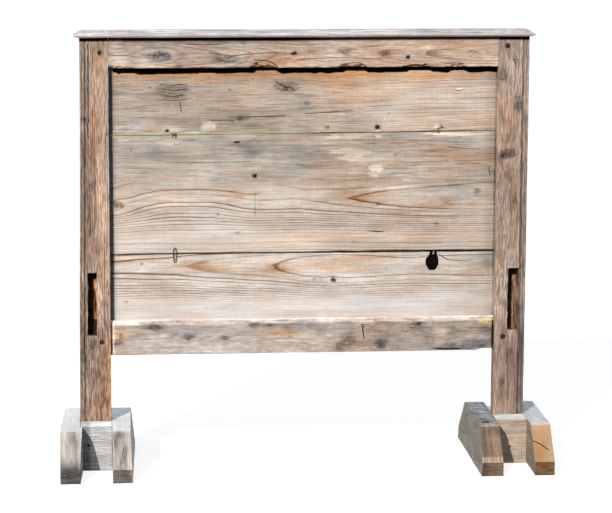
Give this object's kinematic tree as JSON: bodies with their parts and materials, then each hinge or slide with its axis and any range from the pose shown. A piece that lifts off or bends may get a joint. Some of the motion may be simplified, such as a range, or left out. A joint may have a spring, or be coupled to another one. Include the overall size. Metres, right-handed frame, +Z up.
{
  "type": "park interpretation sign",
  "caption": "Free-standing wooden sign board: posts and rails frame wide horizontal boards under a hipped cap, and each post is clamped between sloped foot beams.",
  "frame": {"origin": "on the ground, under the middle of the sign, halfway between the posts and halfway along the foot beams", "axes": "+X to the viewer's right along the boards, +Y towards the back, +Z up; the face of the sign looks along -Y"},
  "size_m": [1.478, 0.488, 1.322],
  "materials": {
    "post_timber": "weathered, unfinished",
    "rail_timber": "weathered, unfinished",
    "board_timber": "weathered, unfinished",
    "cap_timber": "silvered by weather, unfinished",
    "batten_timber": "weathered, unfinished",
    "foot_timber": "weathered, unfinished",
    "spacer_timber": "weathered, unfinished",
    "peg_wood": "dark end grain",
    "screw_steel": "zinc plated, dull"
  },
  "bodies": {
    "root": {"left_post": "post_timber", "right_post": "post_timber", "top_rail": "rail_timber", "bottom_rail": "rail_timber", "upper_board": "board_timber", "middle_board": "board_timber", "lower_board": "board_timber", "cap_board": "cap_timber", "left_batten": "batten_timber", "right_batten": "batten_timber", "left_foot_outer_beam": "foot_timber", "left_foot_inner_beam": "foot_timber", "right_foot_inner_beam": "foot_timber", "right_foot_outer_beam": "foot_timber", "left_front_spacer": "spacer_timber", "left_rear_spacer": "spacer_timber", "right_front_spacer": "spacer_timber", "right_rear_spacer": "spacer_timber", "draw_bore_pegs": "peg_wood", "upper_joint_dowels": "peg_wood", "lower_joint_dowels": "peg_wood", "batten_screws": "screw_steel", "cap_screws": "screw_steel", "left_foot_screws": "screw_steel", "right_foot_screws": "screw_steel"}
  },
  "joints": []
}
